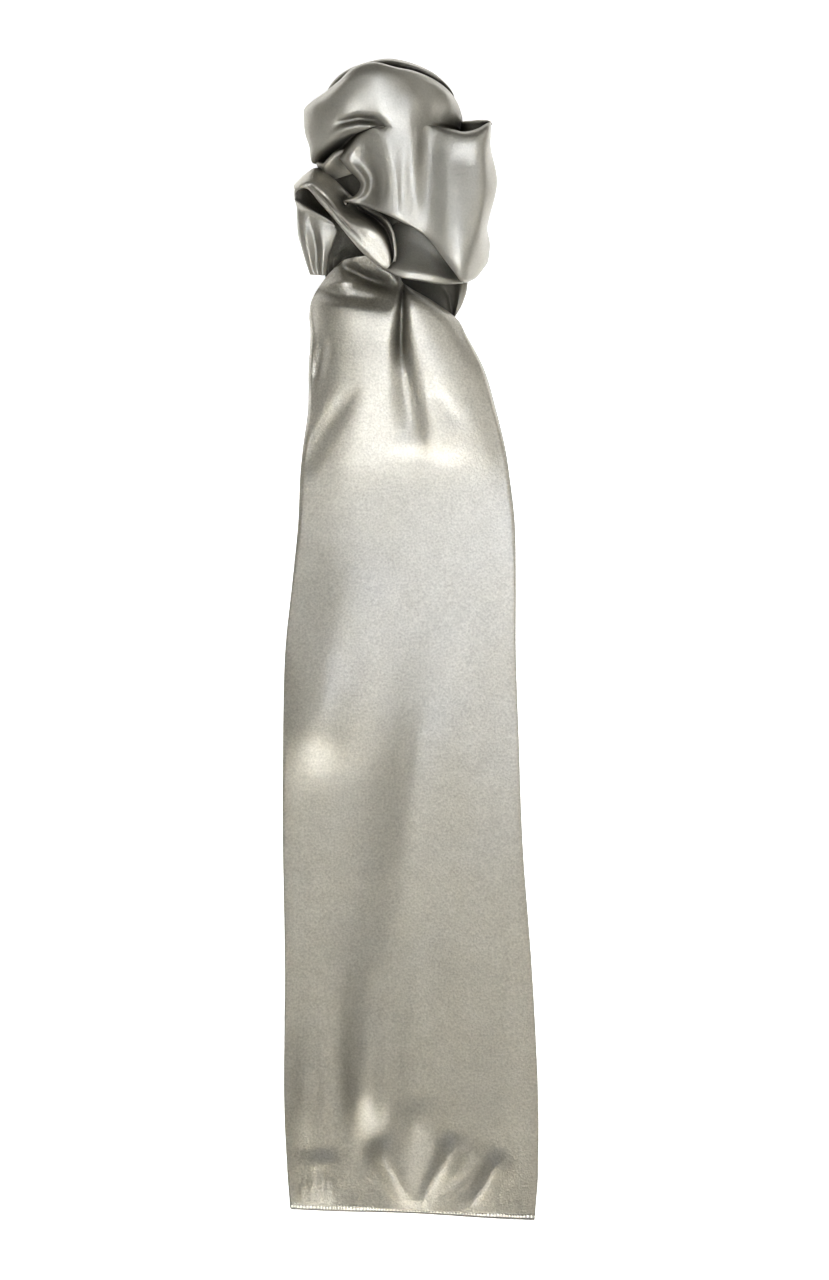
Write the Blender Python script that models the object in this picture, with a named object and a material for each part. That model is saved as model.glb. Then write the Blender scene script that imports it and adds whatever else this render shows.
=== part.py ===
"""An evening stole of satin, laid flat, with its upper half wound into a soft knot.

Every stretch of cloth is a wall lofted through a short table of sections.
The tables are in millimetres: x runs from the stole's centre line to the right,
y from the knot's foot line towards the top of the knot, and z up from the surface
that the stole lies on.
"""

import math
from collections import namedtuple

import bpy
import numpy as np

MM = 0.001
CENTRE_LINE = 0.3
KNOT_FOOT = 355.15
WALL = 1.2
THIN_WALL = 1.0
BACK_INSET = 0.6
HEM_STEPS = 25
HEM_SIDES = 8
HEM_WIDTH = 5.0
HEM_SWELL = 1.1
CORE_STEEPNESS = 1.5

SATIN = (0.37, 0.35, 0.30, 1.0)
SATIN_SHADE = (0.27, 0.255, 0.215, 1.0)
ROUGHNESS = 0.38

# A section runs over a stretch from its start edge, over its middle, to its end edge.
# The edge points are the widest places seen from above, with the height of the cloth
# beside them. A roll is how far the edge takes to turn, and how far it drops there.
Section = namedtuple("Section", "start middle end start_roll end_roll")

# A fold is a ridge, or a trough where its height is negative, along a line on a stretch.
# Its ends are given as shares of the stretch: along the sections, then across them.
Fold = namedtuple("Fold", "along_from across_from along_to across_to width height")

# A core row gives the layered heap's footprint, its narrower top and its height.
CoreRow = namedtuple("CoreRow", "y base_left base_right top_left top_right floor top")

CROWN_ROLL = (
    Section((-97, 168, 22), (-95, 150, 22), (-91, 128, 20), (4, 4), (4, 4)),
    Section((-107, 174, 42), (-105, 150, 42), (-97, 121, 34), (6, 5), (6, 5)),
    Section((-96, 184, 56), (-90, 156, 62), (-86, 130, 46), (7, 6), (7, 6)),
    Section((-80, 198, 64), (-67, 166, 74), (-70, 143, 56), (8, 7), (7, 6)),
    Section((-60, 212, 66), (-45, 178, 82), (-47, 151, 66), (9, 8), (5, 5)),
    Section((-32, 215, 67), (-22, 182, 86), (-24, 153.6, 74), (9, 8), (3, 3)),
    Section((-2, 211, 66), (4, 179, 84), (0, 153.6, 73), (9, 8), (3, 3)),
    Section((22, 202, 60), (25, 174, 75), (22, 151, 60), (8, 7), (5, 5)),
    Section((38, 188, 50), (42, 166, 58), (39, 148, 46), (7, 6), (6, 5)),
    Section((47, 174, 36), (51, 160, 34), (49, 147, 28), (5, 5), (5, 5)),
    Section((43, 170, 18), (46, 158, 16), (44, 148, 14), (4, 4), (4, 4)),
)

CROWN_BACK = (
    Section((29, 177, 16), (38, 187, 12), (34, 182, 3), (2, 2), (2, 2)),
    Section((25, 187, 34), (37, 196, 25), (32, 190, 3), (4, 3), (3, 3)),
    Section((10, 194, 44), (20, 213, 31), (17, 205, 3), (4, 3), (3, 3)),
    Section((-10, 199, 48), (-8, 221, 34), (-9, 212, 3), (4, 3), (3, 3)),
    Section((-36, 200, 48), (-36, 221, 34), (-36, 212, 3), (4, 3), (3, 3)),
    Section((-57, 193, 46), (-68, 213, 32), (-63, 203, 3), (4, 3), (3, 3)),
    Section((-74, 182, 38), (-88, 191, 24), (-82, 183, 3), (4, 3), (3, 3)),
)

FRONT_WRAP = (
    Section((-67, 120, 42), (-49, 99, 44), (-66, 85, 43), (4, 4), (2.5, 2.5)),
    Section((-70, 122, 53), (-48, 99, 56), (-69, 82, 51), (5, 5), (3, 3)),
    Section((-57, 136, 60), (-40, 104, 52), (-50, 77, 50), (5, 5), (5, 5)),
    Section((-40, 150, 68), (-29, 108, 63), (-34, 71, 56), (5, 5), (6, 6)),
    Section((-18, 153, 74), (-13, 106, 75), (-16, 64, 62), (3, 3), (6, 6)),
    Section((2, 153, 73), (3, 102, 74), (0, 54, 62), (3, 3), (6, 6)),
    Section((14, 151, 69), (17, 98, 70), (14, 44, 59), (4, 4), (6, 6)),
    Section((30, 151, 68), (35, 90, 74), (30, 23, 54), (5, 5), (6, 6)),
    Section((47, 148, 65), (54, 86, 70), (45, 5, 46), (5, 5), (8, 8)),
    Section((66, 153, 62), (73, 88, 58), (60, 1, 38), (6, 5), (9, 9)),
    Section((79, 158, 50), (87, 92, 36), (76, 16, 28), (7, 6), (9, 8)),
    Section((77, 150, 24), (81, 90, 9), (70, 24, 10), (6, 5), (6, 5)),
)

LOWER_WRAP = (
    Section((-8, 66, 39), (-11, 40, 38), (-18, 18, 35), (4, 4), (6, 6)),
    Section((0, 62, 50), (0, 36, 49), (-6, 6, 42), (5, 5), (8, 8)),
    Section((10, 54, 51), (10, 28, 48), (8, 3, 40), (5, 5), (8, 8)),
    Section((24, 40, 46), (24, 20, 43), (24, 0, 36), (5, 5), (8, 8)),
    Section((35, 28, 38), (37, 14, 34), (41, 0, 29), (4, 4), (7, 7)),
    Section((43, 22, 31), (47, 13, 27), (52, 4, 22), (2.5, 2.5), (4, 4)),
)

ROLLED_FOLD = (
    Section((-24, 14.5, 43), (-20, 18, 44), (-17, 22.5, 45), (2.5, 2.5), (2.5, 2.5)),
    Section((-31, 16.5, 45), (-23, 23, 42.5), (-16, 29.5, 47), (4, 4), (3.5, 3.5)),
    Section((-40, 23, 47), (-29, 31, 40), (-16.5, 38, 49), (5, 5), (3.5, 3.5)),
    Section((-50, 32, 49.5), (-37, 42, 37.5), (-18.5, 50, 50), (6, 7), (3.5, 3.5)),
    Section((-62, 46, 51), (-46, 55, 38.5), (-27, 62.5, 46), (7, 8), (3.5, 3.5)),
    Section((-77, 64, 53), (-62, 71, 44), (-46, 75.5, 40.5), (6, 7), (3.5, 3.5)),
    Section((-92, 81, 53), (-80, 87, 48), (-68, 94, 36), (5, 6), (3, 3)),
    Section((-106, 90, 51), (-97, 98, 49), (-86, 106, 35), (4.5, 5), (3, 3)),
    Section((-115, 86, 45), (-110, 95, 46), (-102, 107, 35), (3, 3), (3, 3)),
)

INNER_LIP = (
    Section((-96, 122.2, 31), (-94, 117, 31), (-94, 113, 30), (2, 2), (2, 2)),
    Section((-89, 121.7, 42), (-86, 114, 43), (-86, 109, 40), (2, 2), (2.5, 2.5)),
    Section((-81, 129, 46), (-78, 121, 47), (-77, 114, 43), (2, 2), (2.5, 2.5)),
    Section((-72, 136, 44), (-71, 130, 44), (-70, 125, 41), (2, 2), (2, 2)),
)

LEFT_EAR = (
    Section((-87, 73, 44), (-101, 77, 44), (-113, 80, 40), (4, 4), (6, 9)),
    Section((-77, 61.5, 44), (-97, 66, 45), (-115, 67, 38), (4, 4), (7, 12)),
    Section((-72, 51, 41.5), (-93, 50, 43), (-114, 51, 35), (4, 4), (7, 13)),
    Section((-80, 34, 35), (-95, 33, 38), (-110, 35, 30), (4, 4), (7, 14)),
    Section((-83, 20, 30), (-94, 20, 33), (-105, 21, 26), (4, 4), (6, 11)),
    Section((-84, 8, 27), (-92, 9, 29), (-100, 9, 24), (4, 4), (5, 8)),
)

NECK_TAB = (
    Section((54, 10, 12), (30, 12, 15), (8, 12, 13), (5, 5), (4, 4)),
    Section((56, 0, 13), (36, 2, 17.8), (12, 2, 14), (6, 6), (4, 4)),
    Section((54, -9, 11), (42, -9, 14), (28, -8, 12), (5, 5), (4, 4)),
    Section((51, -19, 9), (46, -19, 10), (40, -18, 9), (3, 4), (3, 3)),
)

TAIL_FRONT = (
    Section((-32, 30, 18), (-46, 28, 21), (-62, 26, 16), (5, 6), (5, 6)),
    Section((-16, 18, 18), (-44, 17, 25), (-73, 16, 14), (6, 8), (7, 8)),
    Section((-4, 2, 18), (-42, 0, 28), (-87, 0, 13), (7, 14), (9, 10)),
    Section((20, -14, 20), (-36, -15, 34), (-96, -17, 16), (9, 17), (12, 13)),
    Section((43, -33, 18), (-28, -32, 38), (-99, -32, 16), (9, 15), (14, 13)),
    Section((54, -50, 16), (-22, -52, 38), (-99, -50, 15), (12, 13), (14, 12)),
    Section((73, -85, 14), (-14, -88, 36), (-102, -85, 13), (14, 11), (14, 10)),
    Section((85, -125, 11), (-9, -127, 28), (-103, -125, 10), (14, 9), (14, 8)),
    Section((94, -162, 8), (-7, -163, 17), (-108, -162, 7.5), (11, 6), (11, 5.6)),
    Section((99, -195, 6), (-5, -195, 10.4), (-111, -195, 6), (8, 4), (8, 4)),
    Section((104, -240, 4.4), (-5, -240, 6.2), (-113, -240, 4.4), (5, 2.5), (5, 2.5)),
    Section((105, -300, 3.5), (-6, -300, 4.6), (-119, -300, 3.5), (3, 1.6), (3, 1.6)),
    Section((105, -370, 2.9), (-9, -370, 3.8), (-126, -370, 2.9), (2.5, 1.0), (2.5, 1.0)),
    Section((108, -460, 2.8), (-9, -460, 3.4), (-128, -460, 2.8), (2.5, 1.0), (2.5, 1.0)),
    Section((112, -565, 2.8), (-8, -565, 3.2), (-128, -565, 2.8), (2.5, 1.0), (2.5, 1.0)),
    Section((121, -685, 2.8), (-3, -685, 3.2), (-126, -685, 2.8), (2.5, 1.0), (2.5, 1.0)),
    Section((127, -805, 2.8), (0, -805, 3.2), (-127, -805, 2.8), (2.5, 1.0), (2.5, 1.0)),
    Section((127, -886, 2.8), (1, -883, 3.2), (-124, -881, 2.8), (2.5, 1.0), (2.5, 1.0)),
    Section((124, -926.4, 2.8), (1, -921, 2.9), (-121, -916, 2.8), (2.5, 1.0), (2.5, 1.0)),
)

# The centre crease under the knot, and the soft valley that it opens into.
NECK_FOLDS = (
    Fold(0.14, 0.32, 0.28, 0.44, 0.04, -6),
    Fold(0.28, 0.44, 0.42, 0.52, 0.06, -4),
)

CORE = (
    CoreRow(204, -48, 4, -34, -10, 0, 14),
    CoreRow(194, -58, 18, -48, 4, 0, 32),
    CoreRow(178, -78, 30, -54, 14, 0, 46),
    CoreRow(160, -94, 35, -48, 18, 0, 54),
    CoreRow(135, -92, 50, -22, 28, 0, 55),
    CoreRow(112, -88, 66, 0, 40, 0, 58),
    CoreRow(85, -102, 66, 14, 42, 0, 52),
    CoreRow(60, -104, 60, 14, 36, 0, 34),
    CoreRow(40, -98, 48, 10, 22, 0, 22),
    CoreRow(26, -66, 16, -52, -30, 0, 9),
    CoreRow(14, -66, -24, -56, -36, 0.6, 8),
    CoreRow(0, -76, -14, -58, -28, 1.6, 12),
    CoreRow(-25, -84, 14, -60, -8, 1.6, 17),
    CoreRow(-60, -84, 40, -62, 18, 1.6, 19),
    CoreRow(-110, -84, 64, -66, 44, 1.6, 15),
    CoreRow(-160, -88, 74, -70, 56, 1.6, 8),
    CoreRow(-190, -80, 68, -66, 56, 1.6, 4),
)


def spline_rows(values, samples):
    """Even samples of a Catmull-Rom spline through the rows of an array."""
    values = np.asarray(values, dtype=float)
    ahead = 2 * values[0] - values[1]
    behind = 2 * values[-1] - values[-2]
    padded = np.concatenate([ahead[None], values, behind[None]])
    places = np.linspace(0, len(values) - 1, samples)
    rows = []
    for place in places:
        first = min(int(place), len(values) - 2)
        t = place - first
        p0, p1, p2, p3 = padded[first : first + 4]
        rows.append(
            p1
            + 0.5 * t * (p2 - p0)
            + t * t * (p0 - 2.5 * p1 + 2 * p2 - 0.5 * p3)
            + t * t * t * (1.5 * (p1 - p2) + 0.5 * (p3 - p0))
        )
    return np.array(rows)


def unit(vectors):
    """Vectors scaled to a length of one."""
    return vectors / np.linalg.norm(vectors, axis=-1, keepdims=True)


def edge_roll(edge, inward, outward, roll, angles):
    """Points of a cloth edge that turns over, from its underside to its face."""
    width, drop = roll
    level = unit(inward * np.array([1, 1, 0]))
    sink = -outward * drop
    widest = edge + sink - level * np.dot(sink, level)
    points = []
    for angle in angles:
        reach = inward * width * (1 - math.cos(angle))
        points.append(widest + reach + outward * drop * math.sin(angle))
    return points


def edge_directions(edges, middles, flip):
    """At each section's edge, the way into the cloth and the way out of its face."""
    along = unit(np.gradient(edges, axis=0))
    across = unit(middles - edges)
    outward = unit(np.cross(across, along) * flip)
    inward = unit(across - outward * np.sum(across * outward, axis=-1, keepdims=True))
    return inward, outward


def section_outlines(sections, tucks, roll_steps, top_steps):
    """The points over each section, from one tucked edge to the other."""
    turns = [np.linspace(math.radians(tuck), math.pi / 2, roll_steps) for tuck in tucks]
    starts = np.array([s.start for s in sections], dtype=float)
    middles = np.array([s.middle for s in sections], dtype=float)
    ends = np.array([s.end for s in sections], dtype=float)
    start_in, start_out = edge_directions(starts, middles, 1)
    end_in, end_out = edge_directions(ends, middles, -1)
    shares = np.linspace(0, 1, top_steps + 2)[1:-1]
    outlines = []
    for i, section in enumerate(sections):
        start = edge_roll(starts[i], start_in[i], start_out[i], section.start_roll, turns[0])
        end = edge_roll(ends[i], end_in[i], end_out[i], section.end_roll, turns[1])
        first, last = start[-1], end[-1]
        pull = 2 * middles[i] - (first + last) / 2
        top = [(1 - t) ** 2 * first + 2 * t * (1 - t) * pull + t**2 * last for t in shares]
        outlines.append(np.array(start + top + end[::-1]))
    return outlines


def surface_normals(grid):
    """Unit normals of a grid of points, from its neighbours along and across."""
    along = np.gradient(grid, axis=0)
    across = np.gradient(grid, axis=1)
    return unit(np.cross(across, along))


def fold_grid(grid, folds):
    """Moves a grid's points out along its ridges and in along its troughs."""
    rows, columns = grid.shape[:2]
    along = np.linspace(0, 1, rows)[:, None]
    across = np.linspace(0, 1, columns)[None, :]
    lift = np.zeros((rows, columns))
    for fold in folds:
        run = np.array([fold.along_to - fold.along_from, fold.across_to - fold.across_from])
        offset_along = along - fold.along_from
        offset_across = across - fold.across_from
        share = (offset_along * run[0] + offset_across * run[1]) / np.dot(run, run)
        share = np.clip(share, 0, 1)
        away = np.hypot(offset_along - share * run[0], offset_across - share * run[1])
        lift += fold.height * np.exp(-((away / fold.width) ** 2))
    return grid + surface_normals(grid) * lift[..., None]


def sheet_grid(sections, rows, tucks, roll_steps, top_steps, folds=()):
    """The outer surface of a stretch of cloth, as a grid of points."""
    outlines = section_outlines(sections, tucks, roll_steps, top_steps)
    return fold_grid(spline_rows(outlines, rows), folds)


def wall_faces(rows, columns):
    """Faces of a closed wall: an outer grid, an inner grid and the rim between them."""
    inner = rows * columns
    faces = []
    for r in range(rows - 1):
        for c in range(columns - 1):
            a = r * columns + c
            b = a + 1
            d = a + columns
            e = d + 1
            faces.append((a, b, e, d))
            faces.append((a + inner, d + inner, e + inner, b + inner))
    for c in range(columns - 1):
        last = (rows - 1) * columns + c
        faces.append((c + 1, c, c + inner, c + 1 + inner))
        faces.append((last, last + 1, last + 1 + inner, last + inner))
    for r in range(rows - 1):
        left = r * columns
        right = left + columns - 1
        faces.append((left, left + columns, left + columns + inner, left + inner))
        faces.append((right + columns, right, right + inner, right + columns + inner))
    return faces


def tube_faces(rows, count):
    """The side faces of a closed tube that is made of rings of points."""
    faces = []
    for r in range(rows - 1):
        for c in range(count):
            a = r * count + c
            b = r * count + (c + 1) % count
            faces.append((a, b, b + count, a + count))
    return faces


def to_world(points):
    """Points from the tables' millimetres to metres about the stole's middle."""
    return (np.asarray(points) + np.array([CENTRE_LINE, KNOT_FOOT, 0])) * MM


def satin(name, colour):
    """A satin material with the stole's silver grey."""
    material = bpy.data.materials.new(name)
    material.use_nodes = True
    shader = material.node_tree.nodes["Principled BSDF"]
    shader.inputs["Base Color"].default_value = colour
    shader.inputs["Roughness"].default_value = ROUGHNESS
    shader.inputs["Metallic"].default_value = 0.0
    material.diffuse_color = colour
    return material


def add_mesh(name, points, faces, colour=SATIN):
    """A named object from millimetre points, with triangles that are always the same."""
    mesh = bpy.data.meshes.new(name)
    mesh.from_pydata([tuple(p) for p in to_world(points)], [], as_triangles(faces))
    mesh.update()
    mesh.shade_smooth()
    mesh.materials.append(satin(name + "_satin", colour))
    piece = bpy.data.objects.new(name, mesh)
    bpy.context.scene.collection.objects.link(piece)
    return piece


def as_triangles(faces):
    """Each face as a fan of triangles from its first corner."""
    triangles = []
    for face in faces:
        for i in range(1, len(face) - 1):
            triangles.append((face[0], face[i], face[i + 1]))
    return triangles


def add_wall(name, grid, thickness, colour=SATIN):
    """A stretch of cloth as a closed wall of even thickness under its outer grid."""
    rows, columns = grid.shape[:2]
    inner = grid - surface_normals(grid) * thickness
    points = np.concatenate([grid.reshape(-1, 3), inner.reshape(-1, 3)])
    return add_mesh(name, points, wall_faces(rows, columns), colour)


def core_outline(row, steps, layers):
    """One section of the heap: layered sides, a rounded top and a flat underside."""
    height = row.top - row.floor
    right = []
    for share in np.linspace(0, 1, steps):
        bulge = 1.6 * abs(math.sin(math.pi * layers * share))
        inward = share**CORE_STEEPNESS
        left_x = row.base_left + (row.top_left - row.base_left) * inward - bulge
        right_x = row.base_right + (row.top_right - row.base_right) * inward + bulge
        z = row.floor + height * share * 0.92
        right.append((left_x, right_x, z))
    side = [(r, row.y, z) for _, r, z in right]
    top = []
    for share in np.linspace(0, 1, 5)[1:-1]:
        x = row.top_right + (row.top_left - row.top_right) * share
        top.append((x, row.y, row.floor + height * (0.92 + 0.08 * math.sin(math.pi * share))))
    other = [(left, row.y, z) for left, _, z in reversed(right)]
    return side + top + other


def add_core(name, table, rows):
    """The knot's hidden layers, with the gathered layers in the neck, as one heap."""
    values = spline_rows([list(row) for row in table], rows)
    outlines = [core_outline(CoreRow(*value), 10, 3) for value in values]
    count = len(outlines[0])
    points = [point for outline in outlines for point in outline]
    faces = tube_faces(rows, count)
    for first in (0, (rows - 1) * count):
        ring = list(range(first, first + count))
        centre = len(points)
        points.append(tuple(np.mean([points[i] for i in ring], axis=0)))
        for i in range(count):
            a, b = ring[i], ring[(i + 1) % count]
            faces.append((b, a, centre) if first == 0 else (a, b, centre))
    return add_mesh(name, points, faces, SATIN_SHADE)


def tail_back_grid():
    """The under layer: the front layer's own edges, drawn in and laid flat."""
    rows = []
    for section in TAIL_FRONT[3:]:
        right = np.array(section.start, dtype=float) - [BACK_INSET, 0, 0]
        left = np.array(section.end, dtype=float) + [BACK_INSET, 0, 0]
        rows.append([right + (left - right) * t for t in np.linspace(0, 1, 5)])
    grid = spline_rows(rows, 30)
    grid[:, :, 2] = THIN_WALL
    return grid


def add_hem(name, left, right, width, floor, top):
    """A narrow rolled hem between two corners, swelling between its stitches."""
    left = np.array(left, dtype=float)
    right = np.array(right, dtype=float)
    turns = np.linspace(0, 2 * math.pi, HEM_SIDES, endpoint=False)
    points = []
    for i, share in enumerate(np.linspace(0, 1, HEM_STEPS)):
        place = left + (right - left) * share
        swell = HEM_SWELL if i % 2 else 1.0
        for turn in turns:
            y = place[1] + width / 2 * (1 + math.cos(turn))
            height = (top - floor) * swell
            points.append((place[0], y, floor + height / 2 * (1 + math.sin(turn))))
    faces = tube_faces(HEM_STEPS, HEM_SIDES)
    faces.append(tuple(range(HEM_SIDES))[::-1])
    faces.append(tuple(range((HEM_STEPS - 1) * HEM_SIDES, HEM_STEPS * HEM_SIDES)))
    return add_mesh(name, points, faces)


def clear_scene():
    """Takes away whatever the file already holds."""
    for old in list(bpy.data.objects):
        bpy.data.objects.remove(old, do_unlink=True)


def main():
    clear_scene()
    add_core("knot_core", CORE, 24)
    add_wall("crown_roll", sheet_grid(CROWN_ROLL, 20, (-50, -50), 5, 7), WALL)
    add_wall("crown_back", sheet_grid(CROWN_BACK, 15, (-40, -40), 4, 7), WALL, SATIN_SHADE)
    add_wall("front_wrap", sheet_grid(FRONT_WRAP, 22, (-30, -30), 5, 8), WALL)
    add_wall("lower_wrap", sheet_grid(LOWER_WRAP, 11, (-60, -60), 5, 5), WALL, SATIN_SHADE)
    add_wall("rolled_fold", sheet_grid(ROLLED_FOLD, 18, (-50, -40), 4, 7), THIN_WALL)
    add_wall("inner_lip", sheet_grid(INNER_LIP, 7, (-30, -30), 4, 4), WALL)
    add_wall("left_ear", sheet_grid(LEFT_EAR, 10, (-50, -50), 5, 6), WALL)
    add_wall("neck_tab", sheet_grid(NECK_TAB, 8, (-30, -30), 4, 4), WALL, SATIN_SHADE)
    add_wall("tail_front", sheet_grid(TAIL_FRONT, 36, (0, 0), 4, 9, NECK_FOLDS), THIN_WALL)
    add_wall("tail_back", tail_back_grid(), THIN_WALL, SATIN_SHADE)
    add_hem("hem_front", (-121.5, -921.6), (124.5, -932), HEM_WIDTH, 1.4, 3.4)
    add_hem("hem_back", (-121, -922.6), (124, -933), HEM_WIDTH, 0, 1.0)


main()
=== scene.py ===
"""The looks of a satin evening stole that lies flat, knotted at one end.

Every stretch of cloth is lofted through a short table of sections. The tables are in
millimetres: x runs from the stole's centre line to the right, y from the knot's foot
line towards the top of the knot, and z up from the surface that the stole lies on.
"""

import math
from collections import namedtuple

import bpy
import numpy as np
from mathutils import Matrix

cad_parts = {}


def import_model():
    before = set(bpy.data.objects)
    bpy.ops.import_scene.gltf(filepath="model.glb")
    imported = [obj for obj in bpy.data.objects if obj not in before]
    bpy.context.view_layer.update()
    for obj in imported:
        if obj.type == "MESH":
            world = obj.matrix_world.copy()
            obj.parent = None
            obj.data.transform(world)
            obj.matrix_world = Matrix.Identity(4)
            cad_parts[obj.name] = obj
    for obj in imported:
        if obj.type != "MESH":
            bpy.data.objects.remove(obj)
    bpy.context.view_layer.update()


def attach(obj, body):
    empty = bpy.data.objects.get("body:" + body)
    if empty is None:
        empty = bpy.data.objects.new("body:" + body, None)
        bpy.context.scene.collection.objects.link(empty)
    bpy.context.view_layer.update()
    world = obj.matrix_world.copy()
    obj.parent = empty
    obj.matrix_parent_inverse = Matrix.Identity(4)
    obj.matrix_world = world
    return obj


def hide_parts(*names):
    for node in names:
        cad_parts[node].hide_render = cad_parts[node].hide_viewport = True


MM = 0.001

# Where the tables' centre line and knot foot line lie in the frame.
CENTRE_LINE = 0.3
KNOT_FOOT = 355.15

# No crease presses cloth lower than the first height. The tail's underside lies at the
# second.
LEAST_HEIGHT = 1.0
TAIL_FLOOR = 0.25

# The tail's underside starts this far inside its side folds.
FOOT_INSET = 0.9

CLOTH_THICKNESS = 0.5
TAIL_THICKNESS = 0.4

# Points round the roll of a cloth's edge.
ROLL_STEPS = 9

# The core's sides are ruffled like a pile of folds, and its top is slightly rounded.
CORE_LAYERS = 4
CORE_BULGE = 2.0
CORE_SHOULDER = 0.92
CORE_CROWN = 0.08

HEM_STEPS = 620
HEM_SIDES = 14
STITCH_RUN = 3.1

# The camera is far off, so its view is almost parallel. Its distance and the height of
# its view are in metres, and the middle of its view is in the tables' millimetres.
CAMERA_DISTANCE = 9.0
VIEW_HEIGHT = 1.28
VIEW_CENTRE = (3.5, -355)
SENSOR_HEIGHT = 36

# One section of the big wrap, from the crown's back edge over the top, down through the
# slot under the crown, and over the front wrap to its lower edge.
Wrap = namedtuple(
    "Wrap", "back high middle low brink slot lip upper chest waist skirt edge back_roll edge_roll"
)

WRAP = (
    Wrap((-101, 171, 28), (-103, 165, 30), (-103, 150, 31), (-99.5, 136, 30), (-96, 121, 26),
         (-74, 122, 14), (-66, 121, 38), (-60, 112, 38), (-52, 104, 38), (-48.5, 96, 38),
         (-54, 88, 37), (-65, 84, 36), 3, 3),
    Wrap((-107, 175, 40), (-107, 166, 45), (-105.5, 150, 46), (-101, 136, 43), (-97, 120, 36),
         (-75, 126, 18), (-70, 123, 48), (-63, 113, 50), (-54, 105, 50), (-50, 97, 50),
         (-55, 88, 48), (-68, 82.5, 46), 4, 3),
    Wrap((-97, 183, 50), (-99, 172, 58), (-97, 156, 58), (-93, 141, 54), (-91, 129, 45),
         (-73, 131, 26), (-67, 127, 54), (-58, 116, 57), (-49, 106, 57), (-46, 97, 56),
         (-51, 87, 54), (-64, 81, 50), 5, 3),
    Wrap((-86, 189, 56), (-87, 180, 67), (-85, 166, 68), (-81, 150, 64), (-79, 139, 56),
         (-66, 139, 40), (-60, 135, 60), (-50, 121, 57), (-42, 108, 54), (-40, 97, 52.5),
         (-43, 87, 52), (-53, 78, 50), 6, 4),
    Wrap((-72, 200, 68), (-72, 190, 78), (-69, 174, 78), (-66, 157, 73), (-64, 146, 64),
         (-57, 146.5, 54), (-52, 143.5, 65), (-42, 126, 62), (-35, 109, 57), (-33, 95, 55),
         (-36, 84, 54.5), (-43, 75, 53), 7, 4),
    Wrap((-58, 212, 79), (-55, 201, 85), (-51, 181, 82.5), (-50, 163, 76), (-50, 151, 69),
         (-46.5, 150, 64), (-44, 148.5, 69.5), (-34, 129, 69), (-27, 108, 66), (-25, 91, 63),
         (-27, 79, 60.5), (-32, 71, 57), 8, 4),
    Wrap((-37, 217.5, 83), (-34, 206, 88), (-30, 187, 85), (-31, 168, 80.5), (-32, 157, 77),
         (-31.5, 154, 75.5), (-31, 151.5, 76), (-22, 130, 73), (-17, 106, 68.5), (-15, 87, 64.5),
         (-16, 73, 61.5), (-19, 65.5, 59), 5, 4),
    Wrap((-14, 213, 79), (-12, 203, 83.5), (-9, 186, 82.5), (-8, 168, 79.5), (-8, 158, 77.5),
         (-8, 154, 76.7), (-8, 150, 75.8), (-8, 130, 71.8), (-8, 104, 66.6), (-8, 83, 62.6),
         (-7, 67, 60), (-7.5, 59.5, 58), 5, 4),
    Wrap((6, 208.5, 69), (5, 199, 75.5), (5, 182, 78.5), (4.5, 168, 77), (4, 159, 75.4),
         (4, 155, 74.6), (4, 151, 73.8), (3.5, 128, 70.7), (3.5, 101, 66.3), (4, 77, 62.2),
         (4, 62, 59.4), (4, 53, 57), 6, 4),
    Wrap((24, 201, 55), (24, 193, 64), (22, 178, 67), (20, 167, 67), (19, 160, 65.8),
         (18.5, 156, 65), (18.5, 152, 65.8), (17, 126, 63), (17, 96, 61.6), (17.5, 67, 59.8),
         (17.5, 51, 58), (17.5, 43, 54.5), 6, 4),
    Wrap((37, 191, 46), (37, 185, 58), (37, 174, 60), (36.5, 165, 58), (37, 158, 54),
         (38.5, 153, 50), (40, 149.5, 66.2), (38, 121, 65), (38, 88, 64.2), (38, 54, 62.4),
         (38, 28, 58.5), (39.5, 14.5, 50.5), 5, 5),
    Wrap((46, 180, 38), (45.5, 176, 48), (45.5, 169, 49), (45, 162, 46), (45.5, 156, 41),
         (49, 151, 34), (53, 147.5, 65.3), (55, 119, 63.6), (56, 85, 62.6), (55, 48, 60.6),
         (53, 20, 56), (52, 2.5, 43), 4, 7),
    Wrap((50.5, 168, 30), (50, 166, 37), (50, 162, 37), (49.5, 158, 35), (50, 154, 30),
         (57, 150, 24), (66, 151, 63.5), (70, 121, 61.5), (71, 86, 58.5), (68, 48, 54),
         (66, 22, 45), (65, 4.5, 34), 2.5, 8),
    Wrap((51.5, 160, 24), (51, 159, 28), (51, 157.5, 28), (51, 156, 26), (51.5, 154, 22),
         (62, 150, 14), (76, 157.5, 60), (78, 126, 52), (82, 90, 47), (75, 52, 40),
         (76, 30, 33), (74, 14, 26), 2, 7),
    Wrap((50, 158, 18), (50, 157.5, 20), (50, 156.5, 20), (50, 155.5, 18), (51, 154, 15),
         (64, 152, 10), (79, 160, 50), (79.5, 136, 40), (86, 100, 36), (76.5, 61, 28),
         (79, 40, 22), (77, 20, 17), 2, 4),
    Wrap((47, 157, 12), (47, 156.5, 13), (47, 156, 13), (48, 155, 12), (50, 154, 10),
         (62, 152, 7), (76, 158, 34), (76, 135, 22), (80, 100, 18), (73, 62, 14),
         (75, 40, 10), (73, 22, 8), 2, 3),
)

# The band of cloth behind the crown, from under the crown, over its brow, to the floor.
Band = namedtuple("Band", "inner top brow under foot inner_roll foot_roll")

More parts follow.
